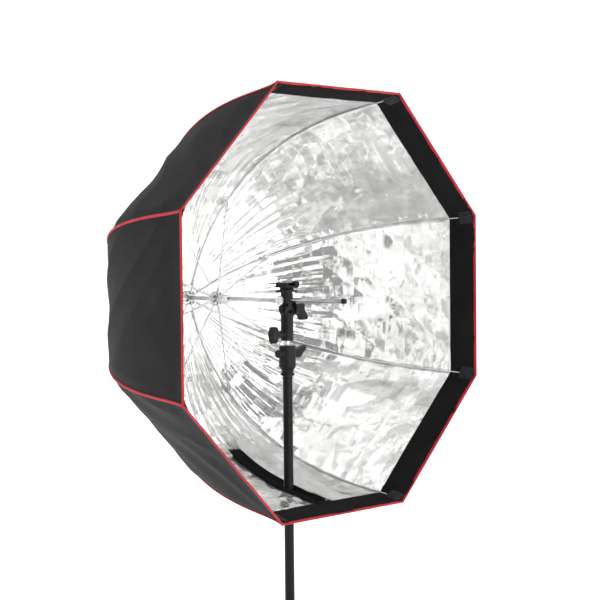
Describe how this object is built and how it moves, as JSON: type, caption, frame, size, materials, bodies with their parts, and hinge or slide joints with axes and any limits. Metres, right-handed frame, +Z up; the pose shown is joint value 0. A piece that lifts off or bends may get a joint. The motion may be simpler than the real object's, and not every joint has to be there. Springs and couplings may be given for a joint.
{
  "type": "studio softbox",
  "caption": "Octagonal umbrella-type studio softbox with hinged ribs, sliding runner and silver lining, held by a tilting speedlight bracket on a light-stand column.",
  "frame": {"origin": "centre of the flat lower end of the stand column", "axes": "+Z up along the column, the softbox opens towards -Y, +X is to the right seen from the front"},
  "size_m": [0.8014, 0.461, 1.0207],
  "materials": {
    "canopy_fabric": "dull woven black outside, crinkled silver lining inside",
    "band_fabric": "black hook-and-loop",
    "rod_metal": "satin",
    "chrome": "polished",
    "steel": "satin",
    "black_plastic": "fine grain",
    "black_paint": "semi-gloss"
  },
  "bodies": {
    "column": {"column_tube": "black_paint", "column_end_plug": "black_plastic", "clamp_collar": "black_plastic", "clamp_nut": "black_plastic"},
    "clamp_wing_knob": {"clamp_wing_knob": "black_plastic"},
    "top_section": {"inner_tube": "steel", "spigot": "steel"},
    "socket": {"socket_body": "black_plastic", "tilt_bolt": "steel"},
    "socket_lock_knob": {"socket_lock_knob": "black_plastic"},
    "tilt_head": {"tilt_head": "black_plastic", "shoe_base": "black_plastic", "shoe_lock_ring": "black_plastic", "cold_shoe": "black_paint"},
    "tilt_lever": {"tilt_lever": "black_plastic"},
    "shaft_lock_screw": {"shaft_lock_screw": "steel"},
    "shoe_clamp_knob": {"shoe_clamp_knob": "black_plastic"},
    "shaft": {"shaft": "chrome", "shaft_end_cap": "black_plastic", "crown": "steel", "crown_hinge_ring": "steel", "crown_cap": "black_plastic"},
    "runner": {"runner": "steel", "runner_hinge_ring": "steel"},
    "runner_button": {"runner_button": "black_plastic"},
    "rib_1": {"rib_1": "rod_metal", "gore_top": "canopy_fabric", "rim_band_top": "band_fabric"},
    "rib_2": {"rib_2": "rod_metal", "gore_top_right": "canopy_fabric", "rim_band_top_right": "band_fabric"},
    "rib_3": {"rib_3": "rod_metal", "gore_right": "canopy_fabric", "rim_band_right": "band_fabric"},
    "rib_4": {"rib_4": "rod_metal", "gore_bottom_right": "canopy_fabric", "rim_band_bottom_right": "band_fabric"},
    "rib_5": {"rib_5": "rod_metal", "gore_bottom": "canopy_fabric", "rim_band_bottom": "band_fabric", "slit_strip_left": "band_fabric", "slit_strip_right": "band_fabric"},
    "rib_6": {"rib_6": "rod_metal", "gore_bottom_left": "canopy_fabric", "rim_band_bottom_left": "band_fabric"},
    "rib_7": {"rib_7": "rod_metal", "gore_left": "canopy_fabric", "rim_band_left": "band_fabric"},
    "rib_8": {"rib_8": "rod_metal", "gore_top_left": "canopy_fabric", "rim_band_top_left": "band_fabric"},
    "stretcher_1": {"stretcher_1": "rod_metal"},
    "stretcher_2": {"stretcher_2": "rod_metal"},
    "stretcher_3": {"stretcher_3": "rod_metal"},
    "stretcher_4": {"stretcher_4": "rod_metal"},
    "stretcher_5": {"stretcher_5": "rod_metal"},
    "stretcher_6": {"stretcher_6": "rod_metal"},
    "stretcher_7": {"stretcher_7": "rod_metal"},
    "stretcher_8": {"stretcher_8": "rod_metal"}
  },
  "joints": [
    {"name": "section_slide", "type": "slide", "parent": "column", "child": "top_section", "axis": [0, 0, 1], "range_m": [0, 0.18]},
    {"name": "clamp_knob_turn", "type": "hinge", "parent": "column", "child": "clamp_wing_knob", "pos_m": [0, 0, 0.516], "axis": [1, 0, 0], "range_deg": [0, 180]},
    {"name": "bracket_yaw", "type": "hinge", "parent": "top_section", "child": "socket", "pos_m": [0, 0, 0.56], "axis": [0, 0, 1], "continuous": true},
    {"name": "socket_knob_turn", "type": "hinge", "parent": "socket", "child": "socket_lock_knob", "pos_m": [0, 0, 0.553], "axis": [-1, 0, 0], "range_deg": [0, 180]},
    {"name": "head_tilt", "type": "hinge", "parent": "socket", "child": "tilt_head", "pos_m": [0, 0, 0.604], "axis": [-1, 0, 0], "range_deg": [-11, 21]},
    {"name": "tilt_lever_turn", "type": "hinge", "parent": "socket", "child": "tilt_lever", "pos_m": [0, 0, 0.604], "axis": [1, 0, 0], "range_deg": [0, 100]},
    {"name": "lock_screw_turn", "type": "hinge", "parent": "tilt_head", "child": "shaft_lock_screw", "pos_m": [0, 0, 0.62], "axis": [-1, 0, 0], "range_deg": [0, 180]},
    {"name": "shoe_knob_turn", "type": "hinge", "parent": "tilt_head", "child": "shoe_clamp_knob", "pos_m": [0, 0, 0.65], "axis": [1, 0, 0], "range_deg": [0, 180]},
    {"name": "shaft_slide", "type": "slide", "parent": "tilt_head", "child": "shaft", "axis": [0, 1, 0], "range_m": [0, 0.075]},
    {"name": "fold", "type": "hinge", "parent": "shaft", "child": "rib_1", "pos_m": [0.00483, 0.28835, 0.63166], "axis": [0.9239, 0, -0.3827], "range_deg": [0, 25], "deforming": ["gore_top", "rim_band_top"]},
    {"name": "rib_2_fold", "type": "hinge", "parent": "shaft", "child": "rib_2", "pos_m": [0.01166, 0.28835, 0.62483], "axis": [0.3827, 0, -0.9239], "range_deg": [0, 25], "deforming": ["gore_top_right", "rim_band_top_right"]},
    {"name": "rib_3_fold", "type": "hinge", "parent": "shaft", "child": "rib_3", "pos_m": [0.01166, 0.28835, 0.61517], "axis": [-0.3827, 0, -0.9239], "range_deg": [0, 25], "deforming": ["gore_right", "rim_band_right"]},
    {"name": "rib_4_fold", "type": "hinge", "parent": "shaft", "child": "rib_4", "pos_m": [0.00483, 0.28835, 0.60834], "axis": [-0.9239, 0, -0.3827], "range_deg": [0, 25], "deforming": ["gore_bottom_right", "rim_band_bottom_right"]},
    {"name": "rib_5_fold", "type": "hinge", "parent": "shaft", "child": "rib_5", "pos_m": [-0.00483, 0.28835, 0.60834], "axis": [-0.9239, 0, 0.3827], "range_deg": [0, 25], "deforming": ["gore_bottom", "rim_band_bottom", "slit_strip_left", "slit_strip_right"]},
    {"name": "rib_6_fold", "type": "hinge", "parent": "shaft", "child": "rib_6", "pos_m": [-0.01166, 0.28835, 0.61517], "axis": [-0.3827, 0, 0.9239], "range_deg": [0, 25], "deforming": ["gore_bottom_left", "rim_band_bottom_left"]},
    {"name": "rib_7_fold", "type": "hinge", "parent": "shaft", "child": "rib_7", "pos_m": [-0.01166, 0.28835, 0.62483], "axis": [0.3827, 0, 0.9239], "range_deg": [0, 25], "deforming": ["gore_left", "rim_band_left"]},
    {"name": "rib_8_fold", "type": "hinge", "parent": "shaft", "child": "rib_8", "pos_m": [-0.00483, 0.28835, 0.63166], "axis": [0.9239, 0, 0.3827], "range_deg": [0, 25], "deforming": ["gore_top_left", "rim_band_top_left"]},
    {"name": "runner_slide", "type": "slide", "parent": "shaft", "child": "runner", "axis": [0, -1, 0], "range_m": [0, 0.1517]},
    {"name": "runner_button_press", "type": "slide", "parent": "runner", "child": "runner_button", "axis": [-1, 0, 0], "range_m": [0, 0.002], "stiffness_N_per_m": 600},
    {"name": "stretcher_1_swing", "type": "hinge", "parent": "runner", "child": "stretcher_1", "pos_m": [0.00483, 0.205, 0.63166], "axis": [-0.9239, 0, 0.3827], "range_deg": [0, 20.13]},
    {"name": "stretcher_2_swing", "type": "hinge", "parent": "runner", "child": "stretcher_2", "pos_m": [0.01166, 0.205, 0.62483], "axis": [-0.3827, 0, 0.9239], "range_deg": [0, 20.13]},
    {"name": "stretcher_3_swing", "type": "hinge", "parent": "runner", "child": "stretcher_3", "pos_m": [0.01166, 0.205, 0.61517], "axis": [0.3827, 0, 0.9239], "range_deg": [0, 20.13]},
    {"name": "stretcher_4_swing", "type": "hinge", "parent": "runner", "child": "stretcher_4", "pos_m": [0.00483, 0.205, 0.60834], "axis": [0.9239, 0, 0.3827], "range_deg": [0, 20.13]},
    {"name": "stretcher_5_swing", "type": "hinge", "parent": "runner", "child": "stretcher_5", "pos_m": [-0.00483, 0.205, 0.60834], "axis": [0.9239, 0, -0.3827], "range_deg": [0, 20.13]},
    {"name": "stretcher_6_swing", "type": "hinge", "parent": "runner", "child": "stretcher_6", "pos_m": [-0.01166, 0.205, 0.61517], "axis": [0.3827, 0, -0.9239], "range_deg": [0, 20.13]},
    {"name": "stretcher_7_swing", "type": "hinge", "parent": "runner", "child": "stretcher_7", "pos_m": [-0.01166, 0.205, 0.62483], "axis": [-0.3827, 0, -0.9239], "range_deg": [0, 20.13]},
    {"name": "stretcher_8_swing", "type": "hinge", "parent": "runner", "child": "stretcher_8", "pos_m": [-0.00483, 0.205, 0.63166], "axis": [-0.9239, 0, -0.3827], "range_deg": [0, 20.13]}
  ],
  "couplings": [
    {"joint": "rib_2_fold", "follows": "fold", "ratio": 1},
    {"joint": "rib_3_fold", "follows": "fold", "ratio": 1},
    {"joint": "rib_4_fold", "follows": "fold", "ratio": 1},
    {"joint": "rib_5_fold", "follows": "fold", "ratio": 1},
    {"joint": "rib_6_fold", "follows": "fold", "ratio": 1},
    {"joint": "rib_7_fold", "follows": "fold", "ratio": 1},
    {"joint": "rib_8_fold", "follows": "fold", "ratio": 1},
    {"joint": "runner_slide", "follows": "fold", "m_per_rad": 0.34728},
    {"joint": "stretcher_1_swing", "follows": "fold", "ratio": 0.80102},
    {"joint": "stretcher_2_swing", "follows": "fold", "ratio": 0.80102},
    {"joint": "stretcher_3_swing", "follows": "fold", "ratio": 0.80102},
    {"joint": "stretcher_4_swing", "follows": "fold", "ratio": 0.80102},
    {"joint": "stretcher_5_swing", "follows": "fold", "ratio": 0.80102},
    {"joint": "stretcher_6_swing", "follows": "fold", "ratio": 0.80102},
    {"joint": "stretcher_7_swing", "follows": "fold", "ratio": 0.80102},
    {"joint": "stretcher_8_swing", "follows": "fold", "ratio": 0.80102}
  ]
}
